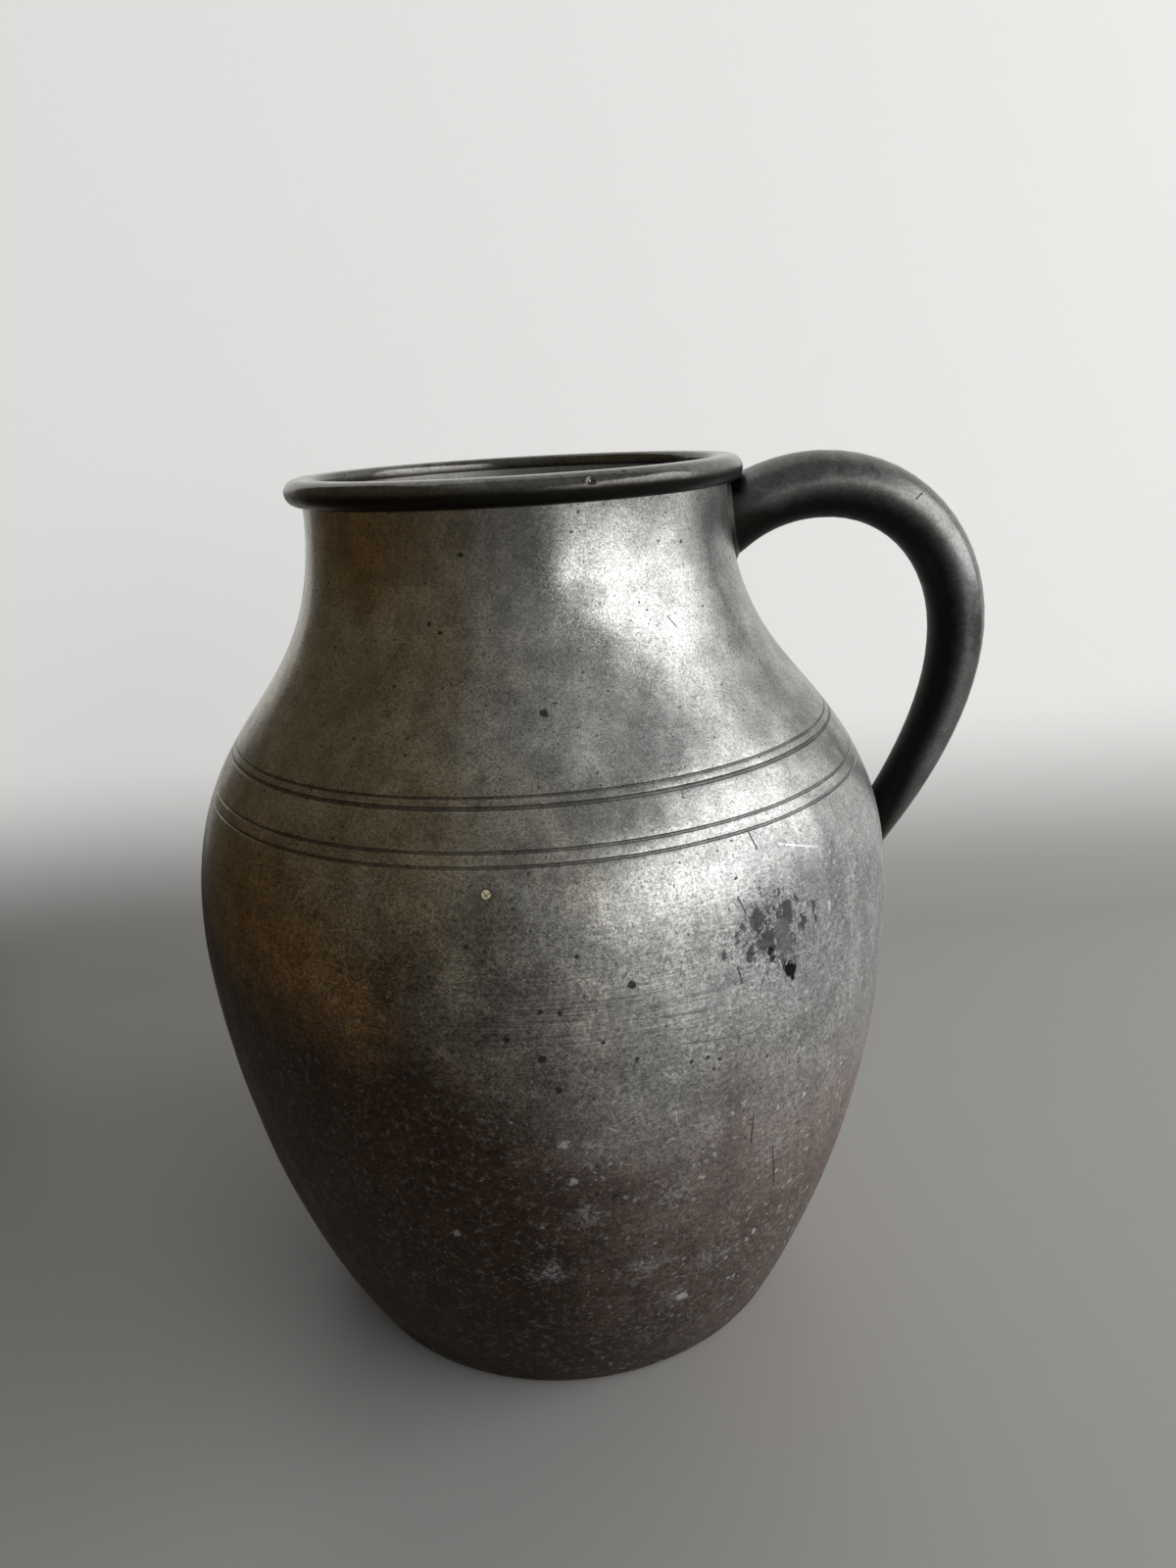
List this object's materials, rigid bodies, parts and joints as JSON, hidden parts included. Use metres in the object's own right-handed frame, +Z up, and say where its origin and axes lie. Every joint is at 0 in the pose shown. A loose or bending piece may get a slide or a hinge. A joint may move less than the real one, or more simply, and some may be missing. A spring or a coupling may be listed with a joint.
{
  "type": "pewter jug",
  "caption": "Round-bellied pewter jug with a short flared neck, rolled rim bead, turned lines round the shoulder and a loop handle, for holding and pouring drinks.",
  "frame": {"origin": "on the body's axis, in the plane that the foot stands on", "axes": "+Z up along the body's axis, +X from the axis towards the handle, +Y across the handle"},
  "size_m": [0.1391, 0.12, 0.1481],
  "materials": {
    "pewter_body": "satin oxidised pewter with fine pits and turning marks",
    "pewter_base": "dull oxidised pewter",
    "pewter_rim": "smooth dark pewter",
    "pewter_handle": "smooth dark pewter, polished by handling",
    "solder": "dull soft solder"
  },
  "bodies": {
    "root": {"lower_bowl": "pewter_body", "upper_shoulder": "pewter_body", "base_plate": "pewter_base", "rim_bead": "pewter_rim", "handle": "pewter_handle", "belly_solder": "solder", "base_solder": "solder", "rim_solder": "solder", "upper_handle_solder": "solder", "lower_handle_solder": "solder"}
  },
  "joints": []
}
